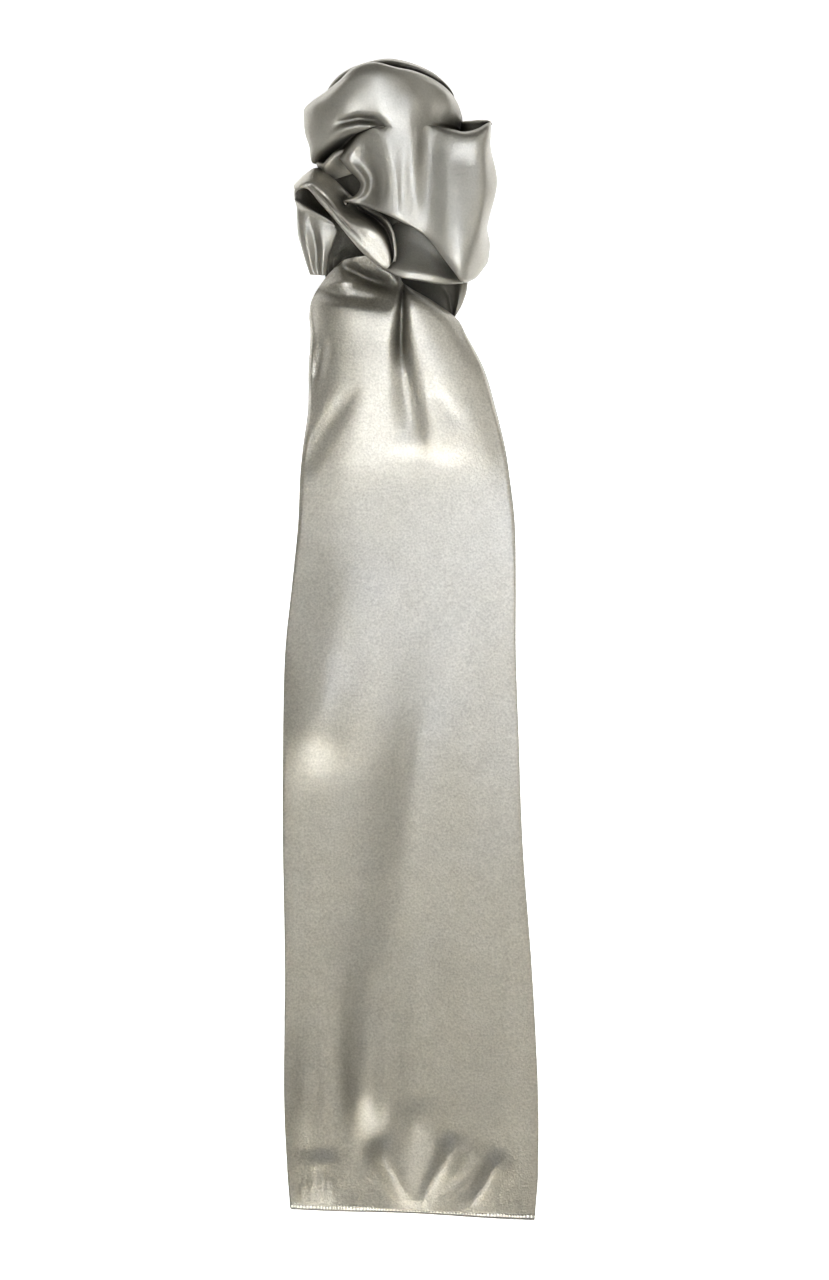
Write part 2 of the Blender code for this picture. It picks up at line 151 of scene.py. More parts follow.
CROWN_BAND = (
    Band((34, 178, 16), (38, 183, 20), (41.5, 183, 14), (40, 180, 7), (36, 176, 3), 1.5, 1.5),
    Band((32, 184, 28), (39, 190, 40), (43, 187, 32), (41, 184, 14), (36, 180, 3), 2, 1.5),
    Band((22, 192, 38), (31, 199.5, 51), (37, 196, 42), (35, 192, 18), (30, 188, 3), 2, 2),
    Band((8, 201, 46), (16, 208.5, 59), (22, 209.5, 48), (21, 205, 20), (18, 199, 3), 2, 2),
    Band((-10, 206, 50), (-7, 216, 62), (-4, 220.5, 50), (-5, 216, 20), (-7, 208, 3), 2, 2),
    Band((-30, 208, 52), (-29, 219, 61), (-28, 223, 50), (-28, 218, 20), (-30, 209, 3), 2, 2),
    Band((-50, 203, 57), (-54, 214, 57), (-55, 216, 46), (-52, 212, 20), (-50, 204, 3), 2, 2),
    Band((-62, 198, 52), (-69, 207, 50), (-71, 207, 40), (-67, 203, 18), (-62, 197, 3), 2, 2),
    Band((-70, 188, 44), (-79, 196, 43), (-82, 195, 34), (-78, 191, 16), (-71, 186, 3), 2, 2),
    Band((-74, 180, 32), (-83, 186, 28), (-85, 184, 22), (-82, 181, 12), (-76, 178, 3), 1.5, 1.5),
)

# The far rim of the cuff at the wrap's right corner.
Rim = namedtuple("Rim", "inner_foot inner_side rim outer_side outer_foot")

CUFF_RIM = (
    Rim((74, 151, 48), (79, 156, 50), (80.5, 158.8, 51), (81, 158, 46), (79, 156, 36)),
    Rim((70, 149, 50), (74.5, 157, 52), (76.5, 161, 55), (78, 161.5, 48), (77, 158, 34)),
    Rim((62, 147, 48), (65.5, 156, 50), (67, 161, 53), (68, 162.5, 46), (68, 160, 14)),
    Rim((54, 147, 42), (57.5, 155.5, 45), (58.5, 160.5, 48), (59, 162, 40), (60, 160, 8)),
    Rim((47, 148, 31), (49.5, 156, 37), (50, 160, 42), (50, 161.5, 34), (52, 160, 6)),
)

# Five points over each section of a smaller stretch, with a roll at either edge.
Strip = namedtuple("Strip", "start near middle far end start_roll end_roll")

LOWER_WRAP = (
    Strip((-22, 56, 26), (-22, 44, 29), (-22, 32, 33), (-24, 22, 36), (-30, 15, 37), 3, 3),
    Strip((-10, 64, 30), (-11, 46, 32), (-12, 30, 36), (-14, 17, 41), (-19, 9.5, 40), 4, 3),
    Strip((0, 62, 34), (-1, 42, 34), (-1, 26, 38), (-3, 13, 43), (-7, 5, 42), 4, 3),
    Strip((12, 54, 34), (11, 36, 35), (11, 22, 38), (10, 11, 42), (8, 2.5, 41), 4, 3.5),
    Strip((24, 40, 34), (24, 27, 34.5), (25, 16, 36.5), (25, 7.5, 39.5), (24, 0, 38), 4, 3.5),
    Strip((35, 27, 32), (36, 18, 32), (38, 11, 32.5), (39, 5, 34), (40, -0.3, 32), 3, 3.5),
    Strip((44, 20, 30), (46, 14, 28), (48, 9, 27), (50, 5, 26), (52, 1.5, 23), 2, 4),
)

ROLLED_FOLD = (
    Strip((-24, 14.5, 41), (-22, 16.5, 43), (-20.5, 18, 43), (-18.8, 20, 41),
          (-17, 22.5, 44), 2, 1.8),
    Strip((-31, 16.5, 43), (-26, 20.5, 45), (-21, 25.5, 46), (-18.2, 28, 39),
          (-15.6, 29.5, 47), 4, 1.8),
    Strip((-40, 23, 44.5), (-32.5, 29, 46.8), (-24, 35.5, 48.3), (-19.2, 38, 40),
          (-15.8, 39, 49.5), 5, 1.8),
    Strip((-50, 32, 46.5), (-41.5, 38.5, 48.8), (-30.5, 47, 50.6), (-23.5, 50, 40),
          (-18.2, 51, 51.5), 6, 1.8),
    Strip((-62, 46, 49.5), (-53, 51, 51.2), (-43, 57.5, 51.5), (-33, 62, 33),
          (-26, 64, 50), 6, 1.8),
    Strip((-77, 64, 51), (-70, 68, 51.5), (-62, 72, 40), (-52, 75.5, 24), (-45, 76, 33), 5, 2.5),
    Strip((-92, 81, 52), (-87, 86, 52.5), (-82, 91, 48), (-77, 96, 41), (-74, 100, 33), 5, 3),
    Strip((-103, 94, 50), (-100.5, 98.5, 52.5), (-98, 102, 50), (-96, 108, 43),
          (-93, 114, 32), 4, 3),
    Strip((-111, 93.5, 47), (-109, 97.5, 50.5), (-108.5, 101, 48), (-108, 105, 42),
          (-105, 110, 30), 3, 3),
    Strip((-116, 89.5, 42), (-116, 92.5, 44.5), (-116.5, 95, 43), (-117.5, 97, 38),
          (-115, 101, 28), 2.5, 2.5),
)

INNER_LIP = (
    Strip((-96, 124, 33), (-95, 121, 34), (-94, 118, 33), (-93, 115, 31), (-92, 111, 28), 1.5, 1.5),
    Strip((-89, 119.5, 41), (-88, 117, 41), (-87, 114, 39), (-86, 111, 36), (-86, 106, 31), 2, 2),
    Strip((-84, 124, 46), (-82, 120, 45.5), (-81, 116, 42), (-79, 111, 35), (-78, 105, 27), 2.5, 2),
    Strip((-75, 131.5, 48), (-72, 127, 47), (-69, 122, 42), (-67, 116, 35), (-66, 108, 26), 2.5, 2),
    Strip((-61, 136, 47), (-59, 131, 45), (-57, 126, 42), (-56, 119, 36), (-56, 111, 28), 2, 2),
)

LEFT_EAR = (
    Strip((-84, 88, 20), (-92, 97, 21), (-100, 102, 21), (-107, 103, 21),
          (-113.5, 101, 20), 1.5, 1.5),
    Strip((-82, 76, 24), (-90, 81, 25), (-98, 86, 25), (-107, 91, 25), (-116, 95, 23), 1.5, 1.5),
    Strip((-80, 66.5, 32), (-88, 70.8, 34), (-97, 75.6, 35), (-107, 81.5, 35),
          (-115.5, 87, 31), 1.5, 2),
    Strip((-77.5, 61, 42.5), (-86, 66, 45), (-96, 71, 46), (-107, 77.5, 45),
          (-116, 83.5, 38), 1.5, 3),
    Strip((-75, 56, 41), (-84, 60, 42.5), (-94.5, 64.5, 42.5), (-105.5, 70, 41.5),
          (-114.5, 76, 35), 2, 5),
    Strip((-73, 51, 40), (-82, 53, 41.5), (-94, 56, 41.5), (-104.5, 60, 40.5),
          (-113, 63, 34), 3, 6),
    Strip((-77, 40, 37), (-84.5, 41.5, 39), (-94.5, 43.5, 38), (-103.5, 46, 38.5),
          (-112, 48, 32), 3, 7),
    Strip((-82, 28, 34), (-87.5, 29, 36), (-95, 30, 34.5), (-102, 31.5, 35.5),
          (-107.5, 33, 29), 3, 6),
    Strip((-84, 17, 31), (-88.5, 17, 33), (-94, 17, 31), (-99, 18, 32), (-103.5, 19, 27), 3, 5),
    Strip((-84.5, 8.3, 28), (-88, 8.3, 30), (-92, 8.5, 28.5), (-96, 8.7, 29.5),
          (-100, 9, 25), 2, 4),
)

NECK_TAB = (
    Strip((57, 12, 9), (48, 12, 10), (36, 12, 4), (14, 12, 3.5), (-16, 12, 3), 3, 1.5),
    Strip((56.5, 0, 12), (49, 0, 14), (40, 0, 7), (18, 0, 6), (-10, 0, 5), 4, 2),
    Strip((54.5, -11, 13), (48, -12, 16), (42, -12, 9), (27, -12, 10), (6, -13, 9), 5, 2),
    Strip((50, -22, 11), (46, -23, 15), (42, -23, 10), (34, -24, 13), (22.5, -24, 11), 4, 2),
    Strip((43, -34, 9), (42, -34.5, 10), (41, -34.5, 9), (40, -34.5, 8), (38, -34, 7), 1.5, 1.5),
)

# A section of the folded tail, from its right side fold over its middle to its left.
Tail = namedtuple("Tail", "right middle left right_roll left_roll")

TAIL = (
    Tail((-32, 30, 20), (-46, 28, 34), (-65, 25, 20), (4, 8), (4, 8)),
    Tail((-16, 18, 18), (-44, 17, 31), (-77, 15, 15), (5, 10), (5, 10)),
    Tail((-7, 0, 18), (-42, 0, 35), (-88.5, 0, 14), (5, 14), (6, 15)),
    Tail((17, -15, 21), (-36, -15, 43.5), (-95.5, -16, 17), (6, 20), (7, 21)),
    Tail((43, -33, 18.5), (-28, -33, 41.3), (-99, -32, 16), (6, 19), (8, 21)),
    Tail((54, -50, 17), (-22, -52, 37.6), (-99, -50, 15.5), (7, 17.5), (8, 19)),
    Tail((73, -85, 14.5), (-14, -88, 30.8), (-102, -85, 13.5), (8, 14), (8, 15)),
    Tail((85, -125, 11), (-9, -127, 22.8), (-103, -125, 11), (8, 10.5), (8, 10.5)),
    Tail((94, -162, 8), (-7, -163, 15.2), (-108, -162, 7.5), (7, 6), (7, 6)),
    Tail((99, -195, 6), (-5, -195, 9.2), (-111, -195, 6), (6, 3), (6, 3)),
    Tail((104, -240, 4.4), (-5, -240, 5.8), (-113, -240, 4.4), (5, 2.5), (5, 2.5)),
    Tail((105, -300, 3.5), (-6, -300, 4.6), (-119, -300, 3.5), (3, 1.6), (3, 1.6)),
    Tail((105, -370, 2.9), (-9, -370, 3.8), (-126, -370, 2.9), (2.5, 1.0), (2.5, 1.0)),
    Tail((108, -460, 2.8), (-9, -460, 3.4), (-128, -460, 2.8), (2.5, 1.0), (2.5, 1.0)),
    Tail((112, -565, 2.8), (-8, -565, 3.2), (-128, -565, 2.8), (2.5, 1.0), (2.5, 1.0)),
    Tail((121, -685, 2.8), (-3, -685, 3.2), (-126, -685, 2.8), (2.5, 1.0), (2.5, 1.0)),
    Tail((127, -805, 2.8), (0, -805, 3.2), (-127, -805, 2.8), (2.5, 1.0), (2.5, 1.0)),
    Tail((127, -886, 2.8), (1, -883, 3.2), (-124, -881, 2.8), (2.5, 1.0), (2.5, 1.0)),
    Tail((124, -930.2, 2.6), (1, -925.0, 2.7), (-121, -919.6, 2.6), (2.5, 1.0), (2.5, 1.0)),
)

# A core row gives the layered heap's footprint, its narrower top and its height.
CoreRow = namedtuple("CoreRow", "y base_left base_right top_left top_right floor top")

CORE = (
    CoreRow(206, -48, 6, -38, 0, 0, 40),
    CoreRow(196, -58, 22, -50, 12, 0, 47),
    CoreRow(180, -76, 33, -56, 25, 0, 50),
    CoreRow(160, -94, 37, -48, 28, 0, 54),
    CoreRow(135, -92, 50, -22, 28, 0, 55),
    CoreRow(112, -88, 66, 0, 40, 0, 58),
    CoreRow(85, -102, 66, 14, 42, 0, 52),
    CoreRow(60, -104, 62, 14, 46, 0, 36),
    CoreRow(40, -98, 54, 2, 42, 0, 30),
    CoreRow(27, -88, 46, -54, 34, 0, 20),
    CoreRow(14, -85, -24, -60, -36, 0.6, 10),
    CoreRow(5, -84, -16, -60, -30, 1.2, 10),
    CoreRow(-5, -80, -14, -60, -28, 1.6, 12),
    CoreRow(-25, -84, 14, -60, -8, 1.6, 17),
    CoreRow(-60, -84, 40, -62, 18, 1.6, 19),
    CoreRow(-110, -84, 64, -66, 44, 1.6, 15),
    CoreRow(-160, -88, 74, -70, 56, 1.6, 8),
    CoreRow(-190, -80, 68, -66, 56, 1.6, 4),
)

# A crease is a soft ridge, or a trough where its height is negative, along a path seen
# from above. Its width grows from its first point to its last.
Crease = namedtuple("Crease", "path first_width last_width height")

# A streak is a ridge that is highest near its first point and falls evenly to its last.
Streak = namedtuple("Streak", "path first_width last_width height")

# A swell is a broad rise: its crest, its half width, how far it takes to rise on the
# knot's side and to fall on the hem's side, and its height.
Swell = namedtuple("Swell", "x y half_width rise fall height")

# A ripple is a long low wave: how far it runs across and along before it repeats.
Ripple = namedtuple("Ripple", "x_run y_run start height")

WRAP_CREASES = (
    Crease(((-80, 151), (-70, 158.5), (-52, 162), (-38, 160.5), (-28, 155.5),
            (-21, 150)), 3.5, 4.5, -7.0),
    Crease(((-84, 143), (-70, 151), (-52, 155.5), (-38, 154.5), (-28, 150)), 3.5, 3.5, 3.2),
)

EAR_CREASES = (
    Crease(((-104, 74), (-98, 52), (-94, 30), (-92, 6)), 5, 3, -2.0),
    Crease(((-110, 66), (-104, 36), (-97, 4)), 3, 2.5, 0.9),
    Crease(((-92, 66), (-88, 40), (-88, 4)), 4, 2.5, 0.9),
)

FOLD_CREASES = (
    Crease(((-112, 96), (-98, 97), (-84, 84), (-66, 60), (-44, 34)), 1.6, 2.2, -1.8),
    Crease(((-116, 90), (-106, 95), (-96, 90), (-84, 77), (-70, 58), (-54, 38)), 1.5, 1.8, 1.6),
)

TAB_CREASES = (
    Crease(((30, 4), (38, -12), (41, -32)), 2.5, 2, -2.0),
    Crease(((46, 6), (47, -14), (44, -30)), 2.5, 2, 1.2),
)

TAIL_CREASES = (
    Crease(((-6, 28), (-8, -4), (-9, -30), (-10, -52), (-10, -92)), 2.0, 6.5, -9.5),
    Crease(((-10, -8), (-10, -60), (-6, -95), (0, -130), (10, -190)), 4, 18, -4.6),
    Crease(((18, -100), (36, -126), (58, -146)), 9, 9, -1.0),
    Crease(((-84, -46), (-91, -80), (-96, -112)), 6, 7, -4.6),
    Crease(((-50, -92), (-84, -144), (-116, -200)), 9, 10, -2.2),
    Crease(((-104, -8), (-72, -12), (-38, -16), (-12, -22)), 7, 8, -9.5),
    Crease(((-80, 24), (-48, 7), (-26, -1), (-8, -10)), 5, 9, -11.0),
    Crease(((-66, 16), (-42, 2), (-20, -8), (2, -20)), 16, 13, -8.0),
    Crease(((-98, -2), (-78, 0), (-58, 3), (-44, 8)), 3, 3.5, 2.0),
    Crease(((-56, -240), (-60, -360), (-66, -490)), 30, 34, 4.6),
    Crease(((8, -320), (4, -600), (12, -980)), 42, 46, 7.8),
    Crease(((96, -420), (100, -640), (104, -900)), 20, 24, 2.0),
)

TAIL_STREAKS = (
    Streak(((-38, -850), (-22, -884), (0, -924)), 13, 8, 7.0),
    Streak(((52, -846), (33, -882), (5, -925)), 15, 8, 7.4),
    Streak(((8, -806), (4, -870), (2, -924)), 24, 8, 3.2),
    Streak(((94, -866), (77, -898), (54, -929)), 13, 8, 7.0),
    Streak(((-90, -862), (-91, -898), (-92, -923)), 16, 16, 5.4),
    Streak(((-98, -888), (-100, -923)), 2.2, 3.4, 1.3),
    Streak(((-88, -882), (-88, -923)), 2.2, 3.4, 1.7),
    Streak(((-79, -890), (-79, -923)), 2.0, 3.4, 1.4),
    Streak(((-109, -896), (-107, -922)), 2.2, 3, 1.3),
    Streak(((-52, -902), (-50, -925)), 1.5, 2.5, 1.0),
    Streak(((-34, -906), (-33, -926)), 1.5, 2.5, 1.0),
    Streak(((14, -904), (16, -927)), 1.5, 3.0, 1.2),
    Streak(((30, -908), (31, -928)), 1.5, 2.5, 1.0),
    Streak(((84, -912), (83, -930)), 1.5, 2.5, 0.9),
    Streak(((106, -914), (105, -931)), 1.5, 2.5, 0.9),
)

TAIL_SWELLS = (
    Swell(12, -158, 26, 30, 10, 3.0),
    Swell(-98, -444, 32, 90, 40, 8.0),
    Swell(-47, -802, 18, 80, 40, 8.2),
    Swell(-105, -830, 13, 70, 44, 3.4),
    Swell(60, -300, 60, 90, 260, 1.5),
)

TAIL_RIPPLES = (
    Ripple(150, 420, 0.10, 0.45),
    Ripple(-95, 260, 0.35, 0.22),
    Ripple(61, -340, 0.70, 0.10),
    Ripple(900, 118, 0.20, 0.16),
    Ripple(-310, 71, 0.55, 0.08),
)

# A hem runs between two ends. Its heights and widths are given at shares of that run.
Hem = namedtuple("Hem", "left right heights widths slope floor")

HEIGHT_SHARES = (0, 0.18, 0.3, 1)
WIDTH_SHARES = (0, 0.2, 0.35, 1)

FRONT_HEM = Hem(
    left=(-121.5, -923.0),
    right=(124.5, -933.4),
    heights=(2.5, 2.4, 2.1, 2.0),
    widths=(6.4, 6.2, 4.2, 3.6),
    slope=0.24,
    floor=1.3,
)

BACK_HEM = Hem(
    left=(-120, -924.2),
    right=(123.5, -935.2),
    heights=(1.2, 1.2, 1.2, 1.2),
    widths=(4, 4, 4, 4),
    slope=0.0,
    floor=0.05,
)

# The stole's satin, by where it is used. The reach of the painted shade, in metres, is how far
# away cloth can be and still darken a place. The grain mix is how much the grain shows.
Satin = namedtuple("Satin", "name face shade roughness metal hollow_reach grain_mix")

FACE = (0.66, 0.622, 0.522, 1)
SHADE = (0.37, 0.334, 0.254, 1)
# The knot's satin is the tail's satin made a little darker: painted shade.
KNOT_FACE = (0.585, 0.556, 0.47, 1)
KNOT_SHADE = (0.325, 0.297, 0.23, 1)
# The hidden core and the back hem take a much darker copy of the satin: painted shade.
SHADED_UNDER_FACE = (0.35, 0.335, 0.28, 1)
SHADED_UNDER_SHADE = (0.195, 0.18, 0.14, 1)
# The front hem takes a much lighter copy of the satin: a painted highlight along its roll.
HIGHLIGHT_HEM_FACE = (0.93, 0.92, 0.86, 1)
HIGHLIGHT_HEM_SHADE = (0.6, 0.58, 0.5, 1)
# The dark warm grey that the satin is painted towards between the folds: painted shade.
PAINTED_SHADE_COLOUR = (0.045, 0.04, 0.027, 1)

SATINS = {
    "tail": Satin("satin_tail", FACE, SHADE, 0.5, 0.75, 0.03, 1.6),
    "knot": Satin("satin_knot", KNOT_FACE, KNOT_SHADE, 0.53, 0.75, 0.045, 0.6),
    "rim": Satin("satin_rim", FACE, SHADE, 0.5, 0.75, 0.012, 0.6),
    "under": Satin("satin_shade", SHADED_UNDER_FACE, SHADED_UNDER_SHADE, 0.5, 0.75, 0.045, 1.6),
    "hem": Satin("satin_hem", HIGHLIGHT_HEM_FACE, HIGHLIGHT_HEM_SHADE, 0.32, 0.85, 0.003, 1.6),
}

# A softbox's place, target and size are in metres, its power in watts, and its spread
# in degrees.
Softbox = namedtuple("Softbox", "name place target size power spread colour")

WARM = (1.14, 1.0, 0.66)
DUSK = (1.02, 1.0, 0.94)
PALE = (0.97, 1.0, 1.06)
COOL = (0.94, 1.0, 1.13)

SOFTBOXES = (
    Softbox("key", (0.2, -4.0, 8.0), (0, 0.46, 0), (2.4, 2.0), 4.15, 12.5, PALE),
    Softbox("low_key", (0.2, -6.2, 6.2), (0, 0.1, 0), (3.0, 1.6), 108, 180, COOL),
    Softbox("hem_key", (0.2, -6.2, 6.2), (0, -0.5, 0), (2.0, 1.2), 1.6, 10, WARM),
    Softbox("top", (0.16, 0.16, 1.25), (0.16, 0.16, 0), (0.32, 0.34), 0.58, 75, COOL),
    Softbox("left", (-4.5, 0.3, 4.5), (0, 0.1, 0), (1.5, 2.5), 12, 180, DUSK),
    Softbox("right", (4.5, 0.3, 4.5), (0, 0.1, 0), (1.5, 2.5), 45, 180, DUSK),
)

# A crease fades in and out over this share of its length.
CREASE_ENDS = 1 / 3

# A streak rises over this share of its length, and falls over this share before its end.
STREAK_RISE = 0.3
STREAK_FALL = 0.85

# How square a swell is from side to side: 2 is a plain bell.
SWELL_SQUARENESS = 2.6

# A face takes creases once its normal's z is past this lean, and fully one range on.
LEAST_LEAN = 0.1
LEAN_RANGE = 0.5


def spline_rows(values, places):
    """Points of a Catmull-Rom spline through the rows of an array, at given places."""
    values = np.asarray(values, dtype=float)
    ahead = 2 * values[0] - values[1]
    behind = 2 * values[-1] - values[-2]
    padded = np.concatenate([ahead[None], values, behind[None]])
    rows = []
    for place in places:
        first = min(int(place), len(values) - 2)
        t = place - first
        p0, p1, p2, p3 = padded[first : first + 4]
        rows.append(
            p1
            + 0.5 * t * (p2 - p0)
            + t * t * (p0 - 2.5 * p1 + 2 * p2 - 0.5 * p3)
            + t * t * t * (1.5 * (p1 - p2) + 0.5 * (p3 - p0))
        )
    return np.array(rows)


def unit(vectors):
    """Vectors scaled to a length of one."""
    return vectors / np.maximum(np.linalg.norm(vectors, axis=-1, keepdims=True), 1e-9)


def eased(share):
    """A share from 0 to 1 that starts and ends softly."""
    return share * share * (3 - 2 * share)


def edge_roll(edge, inward, outward, roll, angles):
    """Points of a cloth edge that turns over, from its underside to its face."""
    width, drop = roll
    level = unit(inward * np.array([1, 1, 0]))
    sink = -outward * drop
    widest = edge + sink - level * np.dot(sink, level)
    points = []
    for angle in angles:
        reach = inward * width * (1 - math.cos(angle))
        points.append(widest + reach + outward * drop * math.sin(angle))
    return points


def edge_directions(edges, nexts, flip):
    """At each section's edge, the way into the cloth and the way out of its face."""
    along = unit(np.gradient(edges, axis=0))
    across = unit(nexts - edges)
    outward = unit(np.cross(across, along) * flip)
    inward = unit(across - outward * np.sum(across * outward, axis=-1, keepdims=True))
    return inward, outward


def loft(sections, rows, span_steps, tucks=(-70, -70)):
    """A grid of points over sections whose last two entries are the edges' rolls.

    Each edge turns under the cloth as far as its tuck, an angle in degrees.
    """
    table = np.array([[p for p in s[:-2]] for s in sections], dtype=float)
    rolls = [[(r, r) for r in s[-2:]] for s in sections]
    turns = [np.linspace(math.radians(t), math.pi / 2, ROLL_STEPS) for t in tucks]
    start_in, start_out = edge_directions(table[:, 0], table[:, 1], 1)
    end_in, end_out = edge_directions(table[:, -1], table[:, -2], -1)
    spans = table.shape[1] - 1
    places = np.linspace(0, spans, spans * span_steps + 1)
    outlines = []
    for i in range(len(sections)):
        start = edge_roll(table[i, 0], start_in[i], start_out[i], rolls[i][0], turns[0])
        end = edge_roll(table[i, -1], end_in[i], end_out[i], rolls[i][1], turns[1])
        controls = [start[-1], *table[i, 1:-1], end[-1]]
        top = list(spline_rows(controls, places)[1:-1])
        outlines.append(np.array(start + top + end[::-1]))
    return spline_rows(outlines, np.linspace(0, len(sections) - 1, rows))


def along_path(x, y, path):
    """How far each place lies from a path, and its share of the way along it."""
    path = np.array(path, dtype=float)
    steps = np.linalg.norm(np.diff(path, axis=0), axis=1)
    starts = np.concatenate([[0], np.cumsum(steps)])
    nearest = np.full(x.shape, 1e9)
    share = np.zeros(x.shape)
    for i, step in enumerate(steps):
        run = path[i + 1] - path[i]
        t = np.clip(((x - path[i, 0]) * run[0] + (y - path[i, 1]) * run[1]) / step**2, 0, 1)
        away = np.hypot(x - path[i, 0] - t * run[0], y - path[i, 1] - t * run[1])
        closer = away < nearest
        nearest = np.where(closer, away, nearest)
        share = np.where(closer, (starts[i] + t * step) / starts[-1], share)
    return nearest, share


def crease_lift(x, y, crease):
    """How far a crease lifts the cloth at each place."""
    nearest, share = along_path(x, y, crease.path)
    width = crease.first_width + (crease.last_width - crease.first_width) * share
    fade = eased(np.clip(np.minimum(share, 1 - share) / CREASE_ENDS, 0, 1))
    return crease.height * fade * np.exp(-((nearest / width) ** 2))


def streak_lift(x, y, streak):
    """How far a streak lifts the cloth at each place."""
    nearest, share = along_path(x, y, streak.path)
    width = streak.first_width + (streak.last_width - streak.first_width) * share
    rise = eased(np.clip(share / STREAK_RISE, 0, 1))
    fall = np.clip((1 - share) / STREAK_FALL, 0, 1)
    return streak.height * rise * fall * np.exp(-((nearest / width) ** 2))


def swell_lift(x, y, swell):
    """How far a swell lifts the cloth at each place."""
    across = np.abs((x - swell.x) / swell.half_width)
    along = (y - swell.y) / np.where(y > swell.y, swell.rise, swell.fall)
    return swell.height * np.exp(-(across**SWELL_SQUARENESS) - along**2)


def ripple_lift(x, y, ripple):
    """How far a long low wave lifts the cloth at each place."""
    turn = x / ripple.x_run + y / ripple.y_run + ripple.start
    return ripple.height * np.sin(2 * math.pi * turn)


def grid_normals(grid):
    """Unit normals of a grid of points, from its neighbours along and across."""
    along = np.gradient(grid, axis=0)
    across = np.gradient(grid, axis=1)
    return unit(np.cross(across, along))


def shaped(grid, creases=(), swells=(), ripples=(), streaks=()):
    """A grid with its creases and waves pressed into the faces that look up."""
    x, y, z = (grid[..., axis] for axis in range(3))
    facing = np.clip((grid_normals(grid)[..., 2] - LEAST_LEAN) / LEAN_RANGE, 0, 1)
    lift = np.zeros(z.shape)
    for ripple in ripples:
        lift += ripple_lift(x, y, ripple)
    for crease in creases:
        lift += crease_lift(x, y, crease)
    for swell in swells:
        lift += swell_lift(x, y, swell)
    for streak in streaks:
        lift += streak_lift(x, y, streak)
    lifted = np.maximum(z + lift * facing, np.minimum(z, LEAST_HEIGHT))
    return np.stack([x, y, lifted], axis=-1)


def grid_faces(rows, columns, closed=False):
    """The faces of a grid of points, whose columns may run all the way round."""
    faces = []
    for r in range(rows - 1):
        for c in range(columns if closed else columns - 1):
            a = r * columns + c
            b = r * columns + (c + 1) % columns
            faces.append((a, b, b + columns, a + columns))
    return faces


def capped_faces(rows, columns):
    """The faces of a tube of rings, with one more face at each end."""
    faces = grid_faces(rows, columns, closed=True)
    faces.append(tuple(range(columns))[::-1])
    faces.append(tuple(range((rows - 1) * columns, rows * columns)))
    return faces


def add_piece(name, points, faces, material):
    """A named object from millimetre points."""
    offset = np.array([CENTRE_LINE, KNOT_FOOT, 0.0])
    mesh = bpy.data.meshes.new(name)
    mesh.from_pydata([tuple(p) for p in (np.asarray(points) + offset) * MM], [], faces)
    mesh.update()
    mesh.shade_smooth()
    mesh.materials.append(material)
    piece = bpy.data.objects.new(name, mesh)
    bpy.context.scene.collection.objects.link(piece)
    return piece


def add_cloth(name, grid, material, thickness=CLOTH_THICKNESS, closed=False):
    """A stretch of cloth over a grid of points, with its thickness under it."""
    rows, columns = grid.shape[:2]
    faces = grid_faces(rows, columns, closed)
    piece = add_piece(name, grid.reshape(-1, 3), faces, material)
    shell = piece.modifiers.new("thickness", "SOLIDIFY")
    shell.thickness = thickness * MM
    shell.offset = -1
    return piece


def stand_for(piece, slot, *nodes):
    """Rides a piece on the stole's body, in place of the plain solids it stands for."""
    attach(piece, "root")
    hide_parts(*nodes)


def core_ring(row):
    """One ring of the core: up its right side, over its top and down its left side."""
    height = row.top - row.floor
    right_side = []
    left_side = []
    for share in np.linspace(0, 1, 40):
        layers = math.sin(math.pi * CORE_LAYERS * share + 0.3 * math.sin(row.y / 17))
        bulge = CORE_BULGE * abs(layers)
        inward = share**1.5
        x_right = row.base_right + (row.top_right - row.base_right) * inward + bulge
        x_left = row.base_left + (row.top_left - row.base_left) * inward - bulge
        z = row.floor + height * share * CORE_SHOULDER
        right_side.append((x_right, row.y, z))
        left_side.append((x_left, row.y, z))
    top = []
    for share in np.linspace(0, 1, 14)[1:-1]:
        x = row.top_right + (row.top_left - row.top_right) * share
        z = row.floor + height * (CORE_SHOULDER + CORE_CROWN * math.sin(math.pi * share))
        top.append((x, row.y, z))
    return right_side + top + left_side[::-1]


def make_core(material):
    """The hidden layers of the knot and the gathered neck, as one heap of folds."""
    table = spline_rows([list(row) for row in CORE], np.linspace(0, len(CORE) - 1, 150))
    grid = np.array([core_ring(CoreRow(*values)) for values in table], dtype=float)
    faces = capped_faces(*grid.shape[:2])
    core = add_piece("core_folds", grid.reshape(-1, 3), faces, material)
    stand_for(core, "satin_shade", "knot_core")
    return core


def make_wrap(material):
    """The crown, the slot under it and the front wrap, as one wide cloth."""
    grid = shaped(loft(WRAP, rows=190, span_steps=7), WRAP_CREASES)
    wrap = add_cloth("knot_wrap", grid, material)
    stand_for(wrap, "satin", "crown_roll", "front_wrap")


def make_crown_band(material):
    """The stretch behind the crown."""
    band = add_cloth("crown_band", loft(CROWN_BAND, rows=90, span_steps=10), material)
    stand_for(band, "satin_shade", "crown_back")


def make_cuff_rim(material):
    """The far rim of the cuff, which has no edge rolls and no solid of its own."""
    rows = np.array([list(row) for row in CUFF_RIM], dtype=float)
    across = [spline_rows(row, np.linspace(0, len(row) - 1, 33)) for row in rows]
    grid = spline_rows(across, np.linspace(0, len(rows) - 1, 40))
    cuff = add_cloth("cuff_rim", grid, material)
    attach(cuff, "root")


def make_lower_wrap(material):
    """The stretch that shows under the front wrap."""
    lower = add_cloth("lower_wrap_cloth", loft(LOWER_WRAP, rows=60, span_steps=10), material)
    stand_for(lower, "satin_shade", "lower_wrap")


def make_rolled_fold(material):
    """The narrow rolled fold on the lower left, whose edges turn further under."""
    rolled = loft(ROLLED_FOLD, rows=120, span_steps=10, tucks=(-90, -60))
    fold = add_cloth("rolled_fold_cloth", shaped(rolled, FOLD_CREASES), material)
    stand_for(fold, "satin", "rolled_fold")


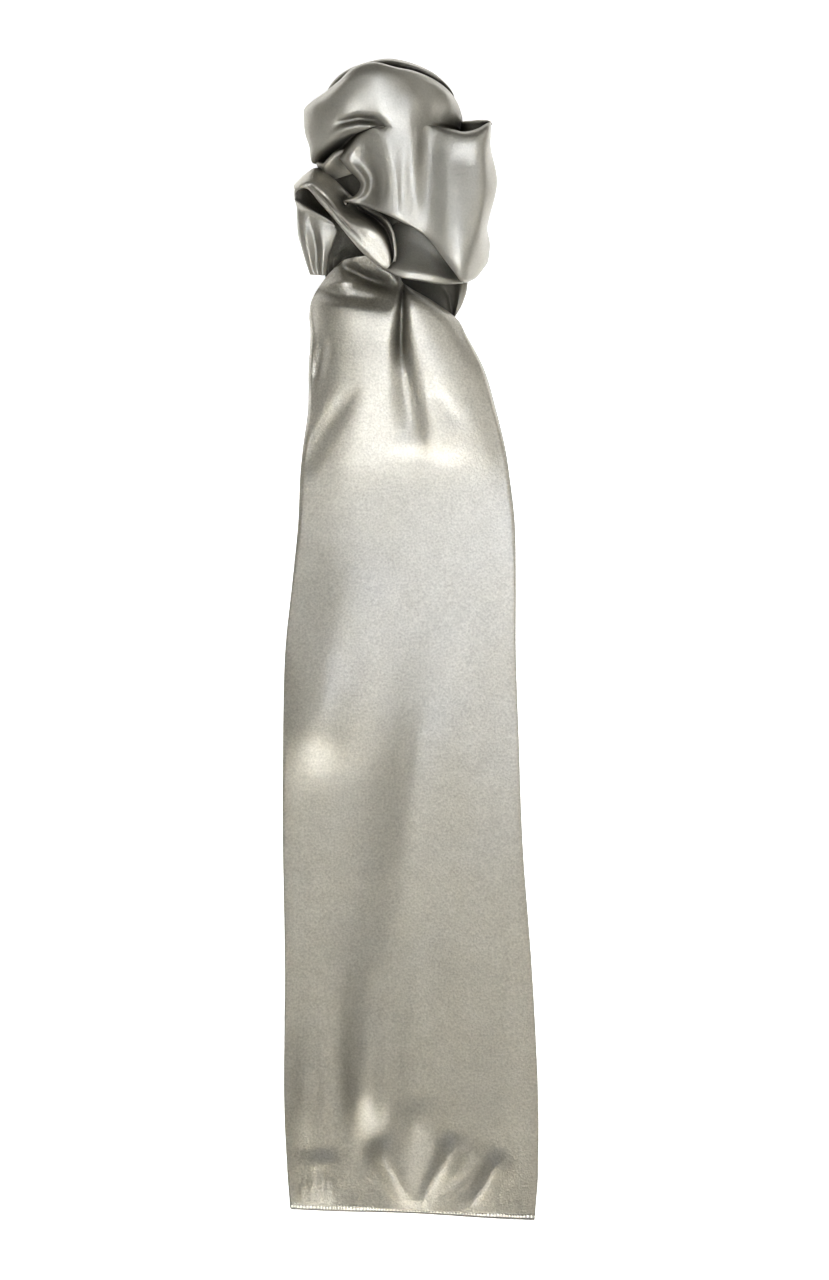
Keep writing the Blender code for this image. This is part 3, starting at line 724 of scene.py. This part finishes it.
def make_inner_lip(material):
    """The small folded lip in the slot between the crown and the rolled fold."""
    lip = add_cloth("inner_lip_cloth", loft(INNER_LIP, rows=50, span_steps=8), material)
    stand_for(lip, "satin", "inner_lip")


def make_left_ear(material):
    """The small folded end that falls to the left of the neck."""
    grid = shaped(loft(LEFT_EAR, rows=80, span_steps=10), EAR_CREASES)
    ear = add_cloth("left_ear_cloth", grid, material)
    stand_for(ear, "satin", "left_ear")


def make_neck_tab(material):
    """The small end that shows right of the neck, under the knot."""
    grid = shaped(loft(NECK_TAB, rows=50, span_steps=10), TAB_CREASES)
    tab = add_cloth("neck_tab_cloth", grid, material)
    stand_for(tab, "satin_shade", "neck_tab")


def make_knot(satins):
    """The knot: its hidden layers, and each stretch of cloth that shows on it."""
    # The core takes the much darker copy of the satin: painted shade.
    core = make_core(satins["under"])
    make_wrap(satins["knot"])
    make_crown_band(satins["knot"])
    make_cuff_rim(satins["rim"])
    make_lower_wrap(satins["knot"])
    make_rolled_fold(satins["rim"])
    make_inner_lip(satins["rim"])
    make_left_ear(satins["knot"])
    make_neck_tab(satins["knot"])


def tail_face(right, left, middle):
    """Points over the tail's face, which rises to its middle and is flat there."""
    rise = middle - (right + left) / 2
    return [
        right + (left - right) * t + rise * (1 - abs(2 * t - 1) ** 4)
        for t in np.linspace(0, 1, 90)[1:-1]
    ]


def tail_underside(right, left):
    """Points along the tail's underside, set in a little from its two side folds."""
    foot_right = np.array([right[0] - FOOT_INSET, right[1], TAIL_FLOOR])
    foot_left = np.array([left[0] + FOOT_INSET, left[1], TAIL_FLOOR])
    return [foot_left + (foot_right - foot_left) * t for t in np.linspace(0, 1, 9)]


def tail_rings(sections, places):
    """Closed rings round the folded tail: its face, its side folds and its back."""
    turns = np.linspace(0, math.pi / 2, ROLL_STEPS)
    rights = np.array([s.right for s in sections], dtype=float)
    middles = np.array([s.middle for s in sections], dtype=float)
    lefts = np.array([s.left for s in sections], dtype=float)
    right_in, right_out = edge_directions(rights, middles, 1)
    left_in, left_out = edge_directions(lefts, middles, -1)
    rings = []
    for i, section in enumerate(sections):
        right = edge_roll(rights[i], right_in[i], right_out[i], section.right_roll, turns)
        left = edge_roll(lefts[i], left_in[i], left_out[i], section.left_roll, turns)
        face = tail_face(right[-1], left[-1], middles[i])
        under = tail_underside(right[0], left[0])
        rings.append(np.array(right + face + left[::-1] + under))
    return spline_rows(rings, places)


def make_tail(material):
    """The folded tail as one closed tube, with rows that get closer towards the hem."""
    last = len(TAIL) - 1
    neck = np.linspace(0, 10, 200)
    fall = np.linspace(10, last - 1, 110)[1:]
    hem = np.linspace(last - 1, last, 44)[1:]
    grid = tail_rings(TAIL, np.concatenate([neck, fall, hem]))
    grid = shaped(grid, TAIL_CREASES, TAIL_SWELLS, TAIL_RIPPLES, TAIL_STREAKS)
    grid[..., 2] = np.maximum(grid[..., 2], TAIL_FLOOR)
    tail = add_cloth("tail", grid, material, TAIL_THICKNESS, closed=True)
    stand_for(tail, "satin", "tail_front", "tail_back")
    return tail


def hem_ring(hem, share):
    """One ring round a hem, at its share of the way from the left end to the right."""
    length = hem.right[0] - hem.left[0]
    x = share * length
    y = hem.left[1] + (hem.right[1] - hem.left[1]) * share
    y += 0.8 * math.sin(math.pi * share) - 0.5 * math.sin(3 * math.pi * share)
    stitch = (x + 0.9 * math.sin(x / 7)) % STITCH_RUN - STITCH_RUN / 2
    pinch = math.exp(-(stitch**2) / 0.16)
    height = np.interp(share, HEIGHT_SHARES, hem.heights) * (1 - 0.32 * pinch)
    width = np.interp(share, WIDTH_SHARES, hem.widths) * (1 - 0.12 * pinch)
    width *= 1 + 0.08 * math.sin(x / 5.3) + 0.05 * math.sin(x / 2.1 + 1)
    ring = []
    for turn in np.linspace(0, 2 * math.pi, HEM_SIDES, endpoint=False):
        inward = (1 + math.cos(turn)) / 2
        full = math.copysign(abs(math.sin(turn)) ** 0.45, math.sin(turn))
        z = hem.floor + height / 2 * (1 + full)
        if full > 0:
            z -= (1 - inward) * hem.slope * width
        ring.append((hem.left[0] + x, y + width * inward, z))
    return ring


def make_hem(name, hem, material, node):
    """A narrow rolled hem, pinched in by its stitches, that slopes down to its free edge."""
    rings = [hem_ring(hem, share) for share in np.linspace(0, 1, HEM_STEPS)]
    points = [point for ring in rings for point in ring]
    piece = add_piece(name, points, capped_faces(HEM_STEPS, HEM_SIDES), material)
    stand_for(piece, "satin", node)
    return piece


def make_hems(satins):
    """The rolled hems at the free end of the tail's two layers."""
    # The front hem takes the much lighter copy of the satin: a painted highlight.
    front = make_hem("hem_front_roll", FRONT_HEM, satins["hem"], "hem_front")
    # The back hem takes the much darker copy of the satin: painted shade.
    back = make_hem("hem_back_roll", BACK_HEM, satins["under"], "hem_back")
    return [front, back]


def add_noise(tree, scale, detail):
    """A noise over the piece's own coordinates."""
    place = tree.nodes.new("ShaderNodeTexCoord")
    noise = tree.nodes.new("ShaderNodeTexNoise")
    noise.inputs["Scale"].default_value = scale
    noise.inputs["Detail"].default_value = detail
    tree.links.new(place.outputs["Object"], noise.inputs["Vector"])
    return noise.outputs["Fac"]


def satin_colour(tree, look, grain, mottle):
    """A colour between the shade and the face, halfway where both noises are halfway."""
    start = tree.nodes.new("ShaderNodeMath")
    start.operation = "MULTIPLY_ADD"
    start.inputs[1].default_value = 0.5
    start.inputs[2].default_value = 0.25 - look.grain_mix / 2
    share = tree.nodes.new("ShaderNodeMath")
    share.operation = "MULTIPLY_ADD"
    share.use_clamp = True
    share.inputs[1].default_value = look.grain_mix
    blend = tree.nodes.new("ShaderNodeMix")
    blend.data_type = "RGBA"
    blend.inputs["A"].default_value = look.shade
    blend.inputs["B"].default_value = look.face
    tree.links.new(mottle, start.inputs[0])
    tree.links.new(grain, share.inputs[0])
    tree.links.new(start.outputs["Value"], share.inputs[2])
    tree.links.new(share.outputs["Value"], blend.inputs["Factor"])
    return blend.outputs["Result"]


def painted_shade_mask(tree, reach):
    """How open each place is: low deep between the folds and 1 in the open. It sets where shade is
    painted.
    """
    hollow = tree.nodes.new("ShaderNodeAmbientOcclusion")
    hollow.inputs["Distance"].default_value = reach
    hollow.samples = 6
    power = tree.nodes.new("ShaderNodeMath")
    power.operation = "POWER"
    power.inputs[1].default_value = 2.0
    tree.links.new(hollow.outputs["AO"], power.inputs[0])
    return power.outputs["Value"]


def add_painted_shade(tree, colour, unshaded_share):
    """Painted shade: a colour that sinks to a dark warm grey where the cloth is closed in."""
    dim = tree.nodes.new("ShaderNodeMix")
    dim.data_type = "RGBA"
    dim.inputs["A"].default_value = PAINTED_SHADE_COLOUR
    tree.links.new(unshaded_share, dim.inputs["Factor"])
    tree.links.new(colour, dim.inputs["B"])
    return dim.outputs["Result"]


def grain_bump(tree, grain, strength):
    """A light bump from the grain."""
    bump = tree.nodes.new("ShaderNodeBump")
    bump.inputs["Strength"].default_value = strength
    bump.inputs["Distance"].default_value = MM
    tree.links.new(grain, bump.inputs["Height"])
    return bump.outputs["Normal"]


def satin(look):
    """Satin with a fine grain, a soft mottle, a warm grey shade and a clear sheen.

    Both its colour and its sheen get painted shade deep between the folds.
    """
    material = bpy.data.materials.new(look.name)
    material.use_nodes = True
    tree = material.node_tree
    shader = tree.nodes["Principled BSDF"]
    shader.inputs["Roughness"].default_value = look.roughness
    shader.inputs["Metallic"].default_value = look.metal
    shader.inputs["Coat Weight"].default_value = 1.0
    shader.inputs["Coat Roughness"].default_value = 0.36
    shader.inputs["Coat IOR"].default_value = 1.9
    grain = add_noise(tree, scale=480, detail=2)
    mottle = add_noise(tree, scale=60, detail=3)
    unshaded_share = painted_shade_mask(tree, look.hollow_reach)
    # Painted shade: the colour sinks to a dark warm grey between the folds.
    colour = add_painted_shade(tree, satin_colour(tree, look, grain, mottle), unshaded_share)
    normal = grain_bump(tree, grain, strength=0.2 + 0.25 * look.grain_mix)
    tree.links.new(colour, shader.inputs["Base Color"])
    # The sheen fades with the painted shade between the folds.
    tree.links.new(unshaded_share, shader.inputs["Coat Weight"])
    tree.links.new(normal, shader.inputs["Normal"])
    return material


def white_floor():
    """A white surface that glows a little, so that it stays white round the stole."""
    material = bpy.data.materials.new("white_surface")
    material.use_nodes = True
    shader = material.node_tree.nodes["Principled BSDF"]
    shader.inputs["Base Color"].default_value = (0.9, 0.9, 0.9, 1)
    shader.inputs["Roughness"].default_value = 0.9
    shader.inputs["Emission Color"].default_value = (1, 1, 1, 1)
    shader.inputs["Emission Strength"].default_value = 1.0
    return material


def add_floor():
    """The white surface, just under the stole."""
    bpy.ops.mesh.primitive_plane_add(size=12, location=(0, 0, -0.2 * MM))
    floor = bpy.context.object
    floor.name = "surface"
    floor.data.materials.append(white_floor())


def add_camera():
    """A camera that looks straight down from far away, so the stole shows no depth."""
    data = bpy.data.cameras.new("camera")
    camera = bpy.data.objects.new("camera", data)
    bpy.context.scene.collection.objects.link(camera)
    data.sensor_fit = "VERTICAL"
    data.sensor_height = SENSOR_HEIGHT
    data.lens = SENSOR_HEIGHT * CAMERA_DISTANCE / VIEW_HEIGHT
    data.clip_end = 50
    x, y = VIEW_CENTRE
    camera.location = ((x + CENTRE_LINE) * MM, (y + KNOT_FOOT) * MM, CAMERA_DISTANCE)
    bpy.context.scene.camera = camera


def add_softbox(softbox):
    """A soft light that looks from its place at its target."""
    data = bpy.data.lights.new(softbox.name, "AREA")
    data.shape = "RECTANGLE"
    data.size, data.size_y = softbox.size
    data.energy = softbox.power
    data.spread = math.radians(softbox.spread)
    data.color = softbox.colour
    light = bpy.data.objects.new(softbox.name, data)
    bpy.context.scene.collection.objects.link(light)
    light.location = softbox.place
    reach = np.array(softbox.target) - np.array(softbox.place)
    pitch = math.acos(-reach[2] / np.linalg.norm(reach))
    turn = math.atan2(reach[0], -reach[1])
    light.rotation_euler = (pitch, 0, math.pi + turn)
    light.visible_camera = False


def add_lights():
    """The studio's soft lights and a faint even light from all round."""
    for softbox in SOFTBOXES:
        add_softbox(softbox)
    world = bpy.data.worlds.new("world")
    bpy.context.scene.world = world
    world.use_nodes = True
    background = world.node_tree.nodes["Background"]
    background.inputs["Color"].default_value = (1, 1, 1, 1)
    background.inputs["Strength"].default_value = 0.05


def set_view():
    """Plain colours, with nothing added to them by the view."""
    view = bpy.context.scene.view_settings
    view.view_transform = "Standard"
    view.look = "None"
    view.exposure = 0.0


def main():
    """Builds the stole and its stage."""
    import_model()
    satins = {use: satin(look) for use, look in SATINS.items()}
    make_knot(satins)
    tail = make_tail(satins["tail"])
    make_hems(satins)
    add_floor()
    add_camera()
    add_lights()
    set_view()


main()
